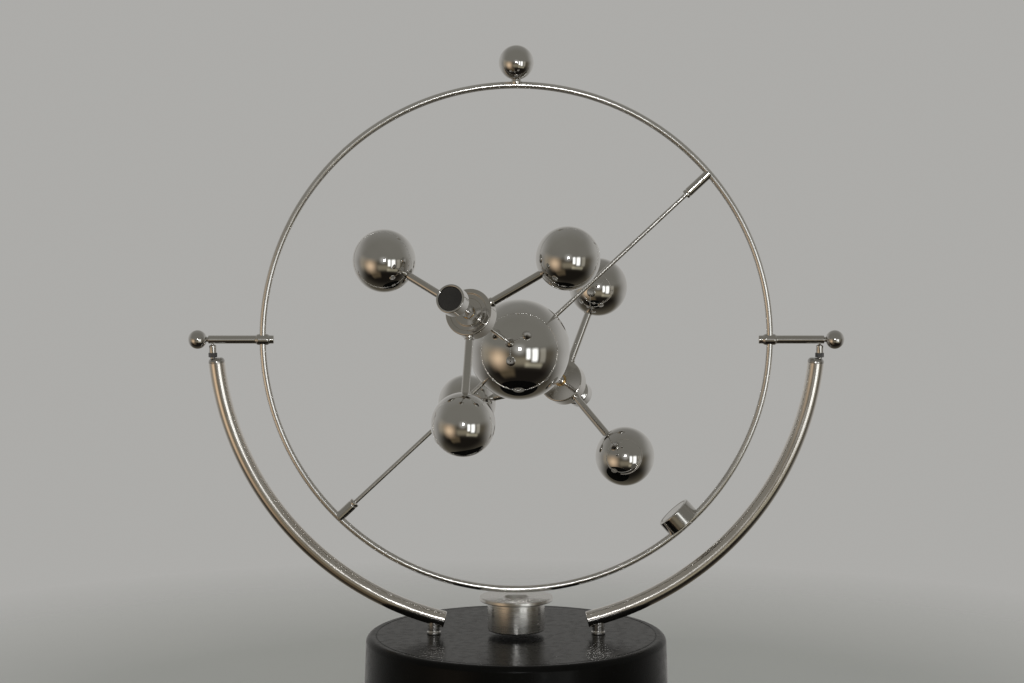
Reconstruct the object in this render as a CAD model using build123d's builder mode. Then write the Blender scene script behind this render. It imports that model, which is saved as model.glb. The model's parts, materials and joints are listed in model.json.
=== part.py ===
from build123d import *
from math import acos, asin, cos, degrees, radians, sin, sqrt, tan
import os

os.makedirs("parts", exist_ok=True)

# Orbital desk mobile. A wire ring rocks on two needle pivots above a drive coil in the base.
# A slanted axle across the ring carries a centre ball and a cross axle with two three-ball spinners.
# Millimetres. Origin: centre of the flat rest face. +Z up, the viewer stands at -Y.

# ---- Driving dimensions -------------------------------------------------------------------------

fit_gap = 0.02  # radial gap of pieces pressed or glued together
running_gap = 0.05  # radial gap of an axle that turns in a bush
axial_gap = 0.3  # end play beside a piece that turns
cut_margin = 1.0  # how far a cutting shape runs past the face it opens

# Base
base_top_z = 43.4
base_top_radius = 55.5
base_bottom_radius = 57.0
base_shoulder_radius = 2.4
base_wall = 2.2
base_top_thickness = 2.4
foot_height = 1.5
foot_outer_radius = 53.0
foot_inner_radius = 48.5
foot_edge = 0.3
plate_radius = 54.3
plate_thickness = 3.0
screw_circle_radius = 50.0
plate_screw_radius = 1.2
plate_screw_length = 9.0
plate_screw_bore = 12.0
plate_head_radius = 2.1
plate_head_height = 1.15
plate_head_inset = 0.2
plate_head_recess = 1.4
plate_head_gap = 0.1
cross_slot_length = 2.6
cross_slot_width = 0.5
cross_slot_depth = 0.7
boss_radius = 2.9
boss_overlap = 0.5

# Battery compartment
cell_radius = 7.2
cell_body_length = 49.3
cell_button_radius = 2.75
cell_button_length = 1.2
cell_pitch = 14.8
cell_centre_z = 12.0
tray_width = 62.0
tray_length = 64.0
tray_wall = 1.2
tray_top_z = 21.5
tray_rib_width = 1.2
tray_rib_depth = 3.2
door_width = 62.0
door_length = 59.0
door_thickness = 1.5
door_travel = 6.0
door_gap = 0.2
door_corner_radius = 1.5
door_ledge_side = 1.2
door_ledge_end = 2.5
grip_inset = 10.0
grip_pitch = 2.2
grip_count = 4
grip_length = 16.0
grip_width = 1.0
grip_depth = 0.6
contact_size = 11.0
contact_thickness = 0.4
contact_play = 0.05
spring_radius = 3.4
spring_wire_radius = 0.35
spring_turns = 4
spring_play = 0.2

# Drive coil and its board
bobbin_radius = 16.0
bobbin_tube_radius = 5.5
bobbin_flange = 1.5
winding_radius = 14.4
winding_edge = 0.8
core_radius = 4.0
board_width = 32.0
board_depth = 21.0
board_thickness = 1.6
board_centre_y = 30.0
board_post_height = 2.5
board_post_spacing = 24.0
board_post_radius = 2.0
board_post_offset = 5.0
chip_size = (5.0, 4.0, 1.6)
capacitor_place = (-10.0, 4.0)
capacitor_size = (3.0, 8.0)
transistor_place = (9.0, 4.0)
transistor_size = (2.4, 5.0)
resistor_size = (3.2, 1.6, 0.7)
resistor_row_y = -6.0
resistor_pitch = 7.0

# Support arms
arm_curve_radius = 110.2
arm_curve_z = 155.9
arm_radius = 3.05
arm_bore_radius = 2.3
arm_inner_x = 26.3
arm_tip_z = 144.6
ferrule_x = 30.4
ferrule_radius = 2.6
ferrule_top_z = 48.8
ferrule_saddle_lead = 1.0
ferrule_saddle_arc = 10.0
arm_screw_radius = 1.25
arm_screw_tip_z = 51.3
screw_head_radius = 2.5
screw_head_height = 1.8
screw_socket_radius = 1.3
screw_socket_depth = 1.1
screw_tip_room = 0.3
insert_angle = 4.8

# Pivots
pivot_z = 153.0
pivot_x = 111.0
plug_length = 5.0
plug_dome_height = 1.9
plug_dome_taper = 18.0
plug_dome_extra = 0.4
plug_play = 0.15
stud_seat = 0.3
lock_nut_radius = 1.6
lock_nut_height = 1.6
post_radius = 1.35
post_taper = 0.5
stud_radius = 0.9
needle_radius = 0.35
needle_length = 1.7
needle_tip_radius = 0.04
needle_point_gap = 0.06
cup_angle = 46.0
cup_depth = 2.5
rod_radius = 1.5
rod_ferrule_radius = 2.0
rod_inner_x = 88.6
rod_ferrule_start_x = 90.2
rod_ferrule_end_x = 95.2
rod_end_x = 112.6
rod_edge = 0.4
rod_ferrule_slope = 0.5
neck_radius = 0.9
neck_depth = 2.5
knob_x = 116.5
knob_radius = 3.5

# Ring and what is fixed to it
ring_radius = 92.7
ring_wire_radius = 1.3
top_ball_radius = 6.35
top_ball_height = 100.8
top_stem_radius = 1.8
top_stem_depth = 2.5
swing_plate_radius = 13.5
swing_plate_thickness = 1.5
swing_plate_edge = 0.3
swing_cup_radius = 10.5
swing_cup_wall = 1.2
swing_bottom = 107.9
swing_top = 96.8
swing_cup_edge = 0.5
swing_magnet_recess = 0.3
swing_magnet_edge = 0.4
saddle_length = 8.0
saddle_width = 4.4
side_magnet_angle = -47.8
side_magnet_radius = 6.75
side_magnet_inner = 86.0
side_magnet_outer = 91.9
side_magnet_edge = 0.45

# Slanted tilt axle
tilt_angle = 43.1
tilt_offset = 3.48
centre_shift = -1.75
axle_radius = 0.8
lower_bearing_radius = 1.85
lower_bearing_reach = 8.3
upper_bearing_radius = 1.7
upper_bearing_reach = 11.6
bearing_bore_end = 2.0
bearing_overlap = 0.2
bearing_edge = 0.3
axle_edge = 0.25
centre_ball_radius = 18.5
axle_seat_radius = 10.5

# Cross axle and spinners
cross_angle = 26.5
hub_offset = 55.3
front_phase = -14.0
rear_phase = -28.6
hub_radius = 8.4
hub_thickness = 6.6
hub_edge = 0.6
hub_groove_inner = 5.0
hub_groove_outer = 6.6
hub_groove_depth = 0.4
bush_radius = 2.4
spoke_radius = 1.45
spoke_inner = 4.2
spoke_seat = 4.0
spinner_arm = 39.2
spinner_ball_radius = 11.3
inner_collar_radius = 1.8
collar_length = 2.4
axle_nut_radius = 2.5
end_cup_radius = 5.1
end_cup_wall = 0.85
end_cup_floor = 1.6
end_cup_length = 6.6
end_cup_face = 78.1
end_magnet_recess = 0.25
end_cup_edge = 0.4
end_magnet_edge = 0.2

# ---- Directions and planes ----------------------------------------------------------------------

ring_centre = Vector(0, 0, pivot_z)
tilt_direction = Vector(cos(radians(tilt_angle)), 0, sin(radians(tilt_angle)))
tilt_normal = Vector(sin(radians(tilt_angle)), 0, -cos(radians(tilt_angle)))
axle_foot = ring_centre + tilt_normal * tilt_offset
mobile_centre = axle_foot + tilt_direction * centre_shift
cross_direction = Vector(0, -cos(radians(cross_angle)), 0) - tilt_normal * sin(radians(cross_angle))
chord_half = sqrt(ring_radius**2 - tilt_offset**2)


def finish(builder, name):
    """Label a finished piece and write its STEP file."""
    builder.part.label = name
    export_step(builder.part, f"parts/{name}.step")


def shaft_plane(origin, direction, x_dir=None):
    """A plane whose normal runs along a shaft."""
    return Plane(origin=origin, x_dir=x_dir, z_dir=direction)


def ring_clearance():
    """The ring's wire with a hair of room, taken out of everything that grips the ring."""
    wire_plane = Plane(origin=ring_centre + Vector(ring_radius, 0, 0), z_dir=(0, 0, 1))
    with BuildPart() as wire:
        with BuildSketch(wire_plane):
            Circle(ring_wire_radius + fit_gap)
        revolve(axis=Axis(ring_centre, (0, 1, 0)), revolution_arc=360)
    return wire.part


ring_wire_room = ring_clearance()

# ---- Base ---------------------------------------------------------------------------------------

cavity_top_z = base_top_z - base_top_thickness
plate_top_z = foot_height + plate_thickness

with BuildPart() as base_shell:
    with BuildSketch(Plane.XZ):
        with BuildLine():
            Polyline(
                (0, foot_height),
                (base_bottom_radius, foot_height),
                (base_top_radius, base_top_z),
                (0, base_top_z),
                close=True,
            )
        make_face()
    revolve(axis=Axis.Z)
    fillet(base_shell.edges().group_by(Axis.Z)[-1], base_shoulder_radius)
    with BuildSketch(Plane.XZ):
        with BuildLine():
            Polyline(
                (0, foot_height - cut_margin),
                (base_bottom_radius - base_wall, foot_height - cut_margin),
                (base_top_radius - base_wall, cavity_top_z),
                (0, cavity_top_z),
                close=True,
            )
        make_face()
    revolve(axis=Axis.Z, mode=Mode.SUBTRACT)
    with BuildSketch(Plane.XY.offset(plate_top_z)):
        with PolarLocations(screw_circle_radius, 4, start_angle=45):
            Circle(boss_radius)
    extrude(amount=cavity_top_z - plate_top_z + boss_overlap)
    with BuildSketch(Plane.XY.offset(plate_top_z)):
        with PolarLocations(screw_circle_radius, 4, start_angle=45):
            Circle(plate_screw_radius + fit_gap)
    extrude(amount=plate_screw_bore, mode=Mode.SUBTRACT)
    with BuildSketch(Plane.XY.offset(cavity_top_z)):
        with GridLocations(2 * ferrule_x, 0, 2, 1):
            Circle(arm_screw_radius + running_gap)
    extrude(amount=base_top_thickness, mode=Mode.SUBTRACT)
finish(base_shell, "base_shell")

door_recess_depth = door_thickness + door_gap

with BuildPart() as base_plate:
    with BuildSketch(Plane.XY.offset(foot_height)):
        Circle(plate_radius)
    extrude(amount=plate_thickness)
    recess_length = door_length + door_travel + 2 * door_gap
    recess_centre = Vector(0, -door_travel / 2, foot_height)
    with BuildSketch(Plane(origin=recess_centre, z_dir=(0, 0, 1))):
        Rectangle(door_width + 2 * door_gap, recess_length)
    extrude(amount=door_recess_depth, mode=Mode.SUBTRACT)
    with BuildSketch(Plane.XY.offset(foot_height)):
        Rectangle(door_width - 2 * door_ledge_side, door_length - 2 * door_ledge_end)
    extrude(amount=plate_thickness, mode=Mode.SUBTRACT)
    with Locations(Plane.XY.offset(foot_height)):
        with PolarLocations(screw_circle_radius, 4, start_angle=45):
            Hole(plate_screw_radius + running_gap)
    with BuildSketch(Plane.XY.offset(foot_height)):
        with PolarLocations(screw_circle_radius, 4, start_angle=45):
            Circle(plate_head_radius + plate_head_gap)
    extrude(amount=plate_head_recess, mode=Mode.SUBTRACT)
finish(base_plate, "base_plate")

with BuildPart() as foot_ring:
    with BuildSketch(Plane.XY):
        Circle(foot_outer_radius)
        Circle(foot_inner_radius, mode=Mode.SUBTRACT)
    extrude(amount=foot_height)
    chamfer(foot_ring.edges().group_by(Axis.Z)[0], foot_edge)
finish(foot_ring, "foot_ring")

plate_head_z = foot_height + plate_head_inset

with BuildPart() as plate_screws:
    with BuildSketch(Plane.XY.offset(plate_head_z)):
        with PolarLocations(screw_circle_radius, 4, start_angle=45):
            Circle(plate_head_radius)
    extrude(amount=plate_head_height)
    with BuildSketch(Plane.XY.offset(plate_head_z + plate_head_height)):
        with PolarLocations(screw_circle_radius, 4, start_angle=45):
            Circle(plate_screw_radius)
    extrude(amount=plate_screw_length)
    with BuildSketch(Plane.XY.offset(plate_head_z)):
        with PolarLocations(screw_circle_radius, 4, start_angle=45):
            Rectangle(cross_slot_length, cross_slot_width)
            Rectangle(cross_slot_width, cross_slot_length)
    extrude(amount=cross_slot_depth, mode=Mode.SUBTRACT)
finish(plate_screws, "plate_screws")

with BuildPart() as battery_door:
    with BuildSketch(Plane.XY.offset(foot_height)):
        RectangleRounded(door_width, door_length, door_corner_radius)
    extrude(amount=door_thickness)
    with BuildSketch(Plane.XY.offset(foot_height)):
        with Locations((0, door_length / 2 - grip_inset)):
            with GridLocations(0, grip_pitch, 1, grip_count):
                SlotOverall(grip_length, grip_width)
    extrude(amount=grip_depth, mode=Mode.SUBTRACT)
finish(battery_door, "battery_door")

with BuildPart() as battery_tray:
    with BuildSketch(Plane.XY.offset(plate_top_z)):
        Rectangle(tray_width, tray_length)
    extrude(amount=tray_top_z - plate_top_z)
    with BuildSketch(Plane.XY.offset(plate_top_z)):
        Rectangle(tray_width - 2 * tray_wall, tray_length - 2 * tray_wall)
    extrude(amount=tray_top_z - plate_top_z - tray_wall, mode=Mode.SUBTRACT)
    with BuildSketch(Plane.XY.offset(tray_top_z - tray_wall)):
        with GridLocations(cell_pitch, 0, 3, 1):
            Rectangle(tray_rib_width, tray_length - 2 * tray_wall)
    extrude(amount=-tray_rib_depth)
    with BuildSketch(Plane.XY.offset(tray_top_z)):
        with Locations((0, board_centre_y - board_post_offset)):
            with GridLocations(board_post_spacing, 0, 2, 1):
                Circle(board_post_radius)
    extrude(amount=board_post_height)
finish(battery_tray, "battery_tray")

# Cells lie side by side and point the other way in turn.
bay_half = tray_length / 2 - tray_wall
button_tip = bay_half - contact_thickness - contact_play
cell_top = button_tip - cell_button_length
cell_bottom = cell_top - cell_body_length
cell_places = [((i - 1.5) * cell_pitch, 1 if i % 2 == 0 else -1) for i in range(4)]


def cell_plane(x, facing, along):
    """A plane across one cell, at a distance towards its positive end."""
    return Plane(origin=(x, facing * along, cell_centre_z), x_dir=(1, 0, 0), z_dir=(0, facing, 0))


with BuildPart() as aa_cells:
    for cell_x, facing in cell_places:
        with BuildSketch(cell_plane(cell_x, facing, cell_bottom)):
            Circle(cell_radius)
        extrude(amount=cell_body_length)
        with BuildSketch(cell_plane(cell_x, facing, cell_top)):
            Circle(cell_button_radius)
        extrude(amount=cell_button_length)
finish(aa_cells, "aa_cells")

spring_height = cell_bottom + bay_half - contact_thickness - 2 * spring_wire_radius - spring_play
spring_seat_y = contact_thickness + spring_wire_radius + contact_play - bay_half

with BuildPart() as battery_springs:
    for cell_x, facing in cell_places:
        seat = Vector(cell_x, facing * spring_seat_y, cell_centre_z)
        with BuildLine() as coil_line:
            Helix(spring_height / spring_turns, spring_height, spring_radius, seat, (0, facing, 0))
        with BuildSketch(Plane(origin=coil_line.line @ 0, z_dir=coil_line.line % 0)):
            Circle(spring_wire_radius)
        sweep(is_frenet=True)
finish(battery_springs, "battery_springs")

with BuildPart() as battery_contacts:
    for cell_x, facing in cell_places:
        for side in (-1, 1):
            outer_face = side * (bay_half - fit_gap)
            with BuildSketch(Plane(origin=(cell_x, outer_face, cell_centre_z), z_dir=(0, -side, 0))):
                Rectangle(contact_size, contact_size)
            extrude(amount=contact_thickness)
finish(battery_contacts, "battery_contacts")

with BuildPart() as coil_bobbin:
    with BuildSketch(Plane.XY.offset(tray_top_z)):
        Circle(bobbin_tube_radius)
    extrude(amount=cavity_top_z - tray_top_z)
    for flange_z in (tray_top_z, cavity_top_z - bobbin_flange):
        with BuildSketch(Plane.XY.offset(flange_z)):
            Circle(bobbin_radius)
        extrude(amount=bobbin_flange)
    with BuildSketch(Plane.XY.offset(tray_top_z)):
        Circle(core_radius + fit_gap)
    extrude(amount=cavity_top_z - tray_top_z, mode=Mode.SUBTRACT)
finish(coil_bobbin, "coil_bobbin")

with BuildPart() as coil_winding:
    with BuildSketch(Plane.XY.offset(tray_top_z + bobbin_flange)):
        Circle(winding_radius)
        Circle(bobbin_tube_radius + fit_gap, mode=Mode.SUBTRACT)
    extrude(amount=cavity_top_z - tray_top_z - 2 * bobbin_flange)
    fillet(coil_winding.edges().filter_by(GeomType.CIRCLE).sort_by(SortBy.RADIUS)[-2:], winding_edge)
finish(coil_winding, "coil_winding")

with BuildPart() as coil_core:
    with BuildSketch(Plane.XY.offset(tray_top_z)):
        Circle(core_radius)
    extrude(amount=cavity_top_z - tray_top_z)
finish(coil_core, "coil_core")

board_z = tray_top_z + board_post_height
board_top_z = board_z + board_thickness

with BuildPart() as circuit_board:
    with BuildSketch(Plane(origin=(0, board_centre_y, board_z), z_dir=(0, 0, 1))):
        Rectangle(board_width, board_depth)
    extrude(amount=board_thickness)
finish(circuit_board, "circuit_board")


def board_plane(x, y):
    """The board's upper face, about a point counted from the board's middle."""
    return Plane(origin=(x, board_centre_y + y, board_top_z), z_dir=(0, 0, 1))


with BuildPart() as board_components:
    with BuildSketch(board_plane(0, 0)):
        Rectangle(chip_size[0], chip_size[1])
    extrude(amount=chip_size[2])
    with BuildSketch(board_plane(*capacitor_place)):
        Circle(capacitor_size[0])
    extrude(amount=capacitor_size[1])
    with BuildSketch(board_plane(*transistor_place)):
        Circle(transistor_size[0])
        with Locations((0, -transistor_size[0])):
            Rectangle(2 * transistor_size[0], transistor_size[0], mode=Mode.SUBTRACT)
    extrude(amount=transistor_size[1])
    with BuildSketch(board_plane(0, resistor_row_y)):
        with GridLocations(resistor_pitch, 0, 3, 1):
            Rectangle(resistor_size[0], resistor_size[1])
    extrude(amount=resistor_size[2])
finish(board_components, "board_components")

# ---- Support arms -------------------------------------------------------------------------------

arm_start_angle = degrees(asin(arm_inner_x / arm_curve_radius))
arm_end_angle = degrees(acos((arm_curve_z - arm_tip_z) / arm_curve_radius))


def arm_section_plane(side, angle):
    """A plane across an arm; the angle is counted from straight down about the arm's centre."""
    turn = radians(angle)
    point = (side * arm_curve_radius * sin(turn), 0, arm_curve_z - arm_curve_radius * cos(turn))
    return Plane(origin=point, x_dir=(0, 1, 0), z_dir=(side * cos(turn), 0, sin(turn)))


def arm_axis(side):
    """The axis that an arm is bent around."""
    return Axis((0, 0, arm_curve_z), (0, -side, 0))


def arm_rod(side, radius, start_angle, arc):
    """A solid length of rod along an arm's curve."""
    with BuildPart() as rod:
        with BuildSketch(arm_section_plane(side, start_angle)):
            Circle(radius)
        revolve(axis=arm_axis(side), revolution_arc=arc)
    return rod.part


sides = {"left": -1, "right": 1}
arm_arc = arm_end_angle - arm_start_angle

for side_name, side in sides.items():
    with BuildPart() as support_arm:
        with BuildSketch(arm_section_plane(side, arm_start_angle)):
            Circle(arm_radius)
            Circle(arm_bore_radius, mode=Mode.SUBTRACT)
        revolve(axis=arm_axis(side), revolution_arc=arm_arc)
        with BuildSketch(Plane(origin=(side * ferrule_x, 0, base_top_z), z_dir=(0, 0, 1))):
            Circle(arm_screw_radius + running_gap)
        extrude(amount=arm_screw_tip_z - base_top_z, mode=Mode.SUBTRACT)
    finish(support_arm, f"{side_name}_support_arm")

with BuildPart() as arm_inserts:
    for side in sides.values():
        add(arm_rod(side, arm_bore_radius - fit_gap, arm_start_angle, insert_angle))
    with BuildSketch(Plane.XY.offset(base_top_z)):
        with GridLocations(2 * ferrule_x, 0, 2, 1):
            Circle(arm_screw_radius + fit_gap)
    extrude(amount=arm_screw_tip_z + screw_tip_room - base_top_z, mode=Mode.SUBTRACT)
finish(arm_inserts, "arm_inserts")

with BuildPart() as arm_ferrules:
    with BuildSketch(Plane.XY.offset(base_top_z)):
        with GridLocations(2 * ferrule_x, 0, 2, 1):
            Circle(ferrule_radius)
            Circle(arm_screw_radius + running_gap, mode=Mode.SUBTRACT)
    extrude(amount=ferrule_top_z - base_top_z)
    saddle_start = arm_start_angle - ferrule_saddle_lead
    for side in sides.values():
        saddle = arm_rod(side, arm_radius + fit_gap, saddle_start, ferrule_saddle_arc)
        add(saddle, mode=Mode.SUBTRACT)
finish(arm_ferrules, "arm_ferrules")

with BuildPart() as arm_screws:
    with BuildSketch(Plane.XY.offset(cavity_top_z)):
        with GridLocations(2 * ferrule_x, 0, 2, 1):
            Circle(screw_head_radius)
    extrude(amount=-screw_head_height)
    with BuildSketch(Plane.XY.offset(cavity_top_z)):
        with GridLocations(2 * ferrule_x, 0, 2, 1):
            Circle(arm_screw_radius)
    extrude(amount=arm_screw_tip_z - cavity_top_z)
    with BuildSketch(Plane.XY.offset(cavity_top_z - screw_head_height)):
        with GridLocations(2 * ferrule_x, 0, 2, 1):
            RegularPolygon(screw_socket_radius, 6)
    extrude(amount=screw_socket_depth, mode=Mode.SUBTRACT)
finish(arm_screws, "arm_screws")

# ---- Pivots on the arms -------------------------------------------------------------------------

nut_bottom_z = arm_tip_z + plug_dome_height
nut_top_z = nut_bottom_z + lock_nut_height
needle_base_z = pivot_z - needle_length
stud_bottom_z = arm_tip_z + stud_seat
post_places = [(-pivot_x, 0), (pivot_x, 0)]

with BuildPart() as tip_plugs:
    for side in sides.values():
        tip_plane = arm_section_plane(side, arm_end_angle)
        with BuildSketch(tip_plane):
            Circle(arm_bore_radius - plug_play)
        extrude(amount=-plug_length)
        with BuildSketch(tip_plane):
            Circle(arm_radius)
        extrude(amount=plug_dome_height + plug_dome_extra, taper=plug_dome_taper)
    with BuildSketch(Plane.XY.offset(nut_bottom_z)):
        Rectangle(3 * pivot_x, 4 * arm_radius)
    extrude(amount=plug_dome_height, mode=Mode.SUBTRACT)
    with BuildSketch(Plane.XY.offset(stud_bottom_z)):
        with Locations(*post_places):
            Circle(stud_radius + fit_gap)
    extrude(amount=plug_dome_height, mode=Mode.SUBTRACT)
finish(tip_plugs, "tip_plugs")

with BuildPart() as pivot_lock_nuts:
    with BuildSketch(Plane.XY.offset(nut_bottom_z)):
        with Locations(*post_places):
            RegularPolygon(lock_nut_radius, 6)
            Circle(stud_radius + fit_gap, mode=Mode.SUBTRACT)
    extrude(amount=lock_nut_height)
finish(pivot_lock_nuts, "pivot_lock_nuts")

with BuildPart() as pivot_needles:
    for post_x, post_y in post_places:
        with BuildSketch(Plane(origin=(post_x, post_y, 0), x_dir=(1, 0, 0), z_dir=(0, -1, 0))):
            with BuildLine():
                Polyline(
                    (0, stud_bottom_z),
                    (stud_radius, stud_bottom_z),
                    (stud_radius, nut_top_z),
                    (post_radius, nut_top_z),
                    (post_radius, needle_base_z - post_taper),
                    (needle_radius, needle_base_z),
                    (needle_tip_radius, pivot_z),
                    (0, pivot_z),
                    close=True,
                )
            make_face()
        revolve(axis=Axis((post_x, post_y, 0), (0, 0, 1)))
finish(pivot_needles, "pivot_needles")

# ---- Ring and what is fixed to it ---------------------------------------------------------------

with BuildPart() as ring:
    with BuildSketch(Plane(origin=ring_centre + Vector(ring_radius, 0, 0), z_dir=(0, 0, 1))):
        Circle(ring_wire_radius)
    revolve(axis=Axis(ring_centre, (0, 1, 0)), revolution_arc=360)
finish(ring, "ring")

for side_name, side in sides.items():
    with BuildPart() as pivot_rod:
        with BuildSketch(Plane(origin=ring_centre, x_dir=(side, 0, 0), z_dir=(0, -1, 0))):
            with BuildLine():
                Polyline(
                    (rod_inner_x, 0),
                    (rod_inner_x, rod_radius - rod_edge),
                    (rod_inner_x + rod_edge, rod_radius),
                    (rod_ferrule_start_x, rod_radius),
                    (rod_ferrule_start_x + rod_ferrule_slope, rod_ferrule_radius),
                    (rod_ferrule_end_x - rod_ferrule_slope, rod_ferrule_radius),
                    (rod_ferrule_end_x, rod_radius),
                    (rod_end_x - rod_edge, rod_radius),
                    (rod_end_x, neck_radius),
                    (knob_x - knob_radius + neck_depth, neck_radius),
                    (knob_x - knob_radius + neck_depth, 0),
                    close=True,
                )
            make_face()
        revolve(axis=Axis(ring_centre, (1, 0, 0)))
        add(ring_wire_room, mode=Mode.SUBTRACT)
        # The cup that the needle stands in opens downwards, with its point on the pivot axis.
        cup_apex_z = pivot_z + needle_point_gap
        cup_mouth_radius = cup_depth * tan(radians(cup_angle))
        with Locations((side * pivot_x, 0, cup_apex_z - cup_depth / 2)):
            Cone(cup_mouth_radius, 0, cup_depth, mode=Mode.SUBTRACT)
    finish(pivot_rod, f"{side_name}_pivot_rod")

with BuildPart() as pivot_knobs:
    with Locations((-knob_x, 0, pivot_z), (knob_x, 0, pivot_z)):
        Sphere(knob_radius)
    for side in sides.values():
        seat_plane = shaft_plane((side * (knob_x - knob_radius - cut_margin), 0, pivot_z), (side, 0, 0))
        with BuildSketch(seat_plane):
            Circle(neck_radius + fit_gap)
        extrude(amount=neck_depth + cut_margin + fit_gap, mode=Mode.SUBTRACT)
finish(pivot_knobs, "pivot_knobs")

top_ball_z = pivot_z + top_ball_height
stem_top_z = top_ball_z - top_ball_radius + top_stem_depth

with BuildPart() as top_ball_stem:
    with BuildSketch(Plane.XY.offset(pivot_z + ring_radius)):
        Circle(top_stem_radius)
    extrude(amount=stem_top_z - pivot_z - ring_radius)
    add(ring_wire_room, mode=Mode.SUBTRACT)
finish(top_ball_stem, "top_ball_stem")

with BuildPart() as top_ball:
    with Locations((0, 0, top_ball_z)):
        Sphere(top_ball_radius)
    with BuildSketch(Plane.XY.offset(pivot_z + ring_radius)):
        Circle(top_stem_radius + fit_gap)
    extrude(amount=stem_top_z + fit_gap - pivot_z - ring_radius, mode=Mode.SUBTRACT)
finish(top_ball, "top_ball")

cup_top_z = pivot_z - swing_top
cup_bottom_z = pivot_z - swing_bottom
swing_plate_top_z = cup_top_z + swing_plate_thickness

with BuildPart() as magnet_plate:
    with BuildSketch(Plane.XY.offset(cup_top_z)):
        Circle(swing_plate_radius)
    extrude(amount=swing_plate_thickness)
    chamfer(magnet_plate.edges(), swing_plate_edge)
    with BuildSketch(Plane.XY.offset(swing_plate_top_z)):
        Rectangle(saddle_length, saddle_width)
    extrude(amount=pivot_z - ring_radius - swing_plate_top_z)
    add(ring_wire_room, mode=Mode.SUBTRACT)
finish(magnet_plate, "magnet_plate")

with BuildPart() as swing_magnet_cup:
    with BuildSketch(Plane.XY.offset(cup_bottom_z)):
        Circle(swing_cup_radius)
    extrude(amount=cup_top_z - cup_bottom_z)
    fillet(swing_magnet_cup.edges().filter_by(GeomType.CIRCLE), swing_cup_edge)
    with BuildSketch(Plane.XY.offset(cup_bottom_z)):
        Circle(swing_cup_radius - swing_cup_wall)
    extrude(amount=cup_top_z - cup_bottom_z - swing_cup_wall, mode=Mode.SUBTRACT)
finish(swing_magnet_cup, "swing_magnet_cup")

with BuildPart() as swing_magnet:
    with BuildSketch(Plane.XY.offset(cup_bottom_z + swing_magnet_recess)):
        Circle(swing_cup_radius - swing_cup_wall - fit_gap)
    extrude(amount=cup_top_z - cup_bottom_z - swing_cup_wall - swing_magnet_recess)
    chamfer(swing_magnet.edges().group_by(Axis.Z)[0], swing_magnet_edge)
finish(swing_magnet, "swing_magnet")

side_magnet_turn = radians(side_magnet_angle)
side_magnet_direction = Vector(cos(side_magnet_turn), 0, sin(side_magnet_turn))
side_magnet_face = ring_centre + side_magnet_direction * side_magnet_inner

with BuildPart() as side_magnet:
    with BuildSketch(shaft_plane(side_magnet_face, side_magnet_direction)):
        Circle(side_magnet_radius)
    extrude(amount=side_magnet_outer - side_magnet_inner)
    chamfer(side_magnet.edges(), side_magnet_edge)
    add(ring_wire_room, mode=Mode.SUBTRACT)
finish(side_magnet, "side_magnet")

bearings = {
    "lower_bearing": (-1, lower_bearing_radius, lower_bearing_reach),
    "upper_bearing": (1, upper_bearing_radius, upper_bearing_reach),
}

for bearing_name, (end, bearing_radius, reach) in bearings.items():
    outward = tilt_direction * end
    mouth = axle_foot + outward * (chord_half - reach)
    with BuildPart() as bearing:
        with BuildSketch(shaft_plane(mouth, outward)):
            Circle(bearing_radius)
        extrude(amount=reach + bearing_overlap)
        chamfer(bearing.edges().sort_by(lambda edge: (edge.center() - mouth).length)[0], bearing_edge)
        add(ring_wire_room, mode=Mode.SUBTRACT)
        with BuildSketch(shaft_plane(mouth, outward)):
            Circle(axle_radius + running_gap)
        extrude(amount=reach - bearing_bore_end, mode=Mode.SUBTRACT)
    finish(bearing, bearing_name)

# ---- Centre ball, tilt axle and cross axle ------------------------------------------------------

with BuildPart() as centre_ball:
    with Locations(mobile_centre):
        Sphere(centre_ball_radius)
    for direction in (tilt_direction, -tilt_direction, cross_direction, -cross_direction):
        seat = mobile_centre + direction * axle_seat_radius
        with BuildSketch(shaft_plane(seat, direction)):
            Circle(axle_radius + fit_gap)
        extrude(amount=centre_ball_radius, mode=Mode.SUBTRACT)
finish(centre_ball, "centre_ball")

tilt_axle_end = bearing_bore_end + axial_gap

for axle_name, end in (("lower_tilt_axle", -1), ("upper_tilt_axle", 1)):
    outward = tilt_direction * end
    seat = mobile_centre + outward * (axle_seat_radius + fit_gap)
    length = chord_half - tilt_axle_end - end * centre_shift - axle_seat_radius - fit_gap
    with BuildPart() as tilt_axle:
        with BuildSketch(shaft_plane(seat, outward)):
            Circle(axle_radius)
        extrude(amount=length)
        chamfer(tilt_axle.edges().sort_by(lambda edge: (edge.center() - seat).length)[-1], axle_edge)
    finish(tilt_axle, axle_name)


def ring_shape(plane, outer_radius, bore_radius, length, outline=Circle):
    """A round or hexagonal collar on a shaft."""
    with BuildPart() as collar:
        with BuildSketch(plane):
            if outline is Circle:
                Circle(outer_radius)
            else:
                RegularPolygon(outer_radius, 6)
            Circle(bore_radius, mode=Mode.SUBTRACT)
        extrude(amount=length)
    return collar


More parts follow.
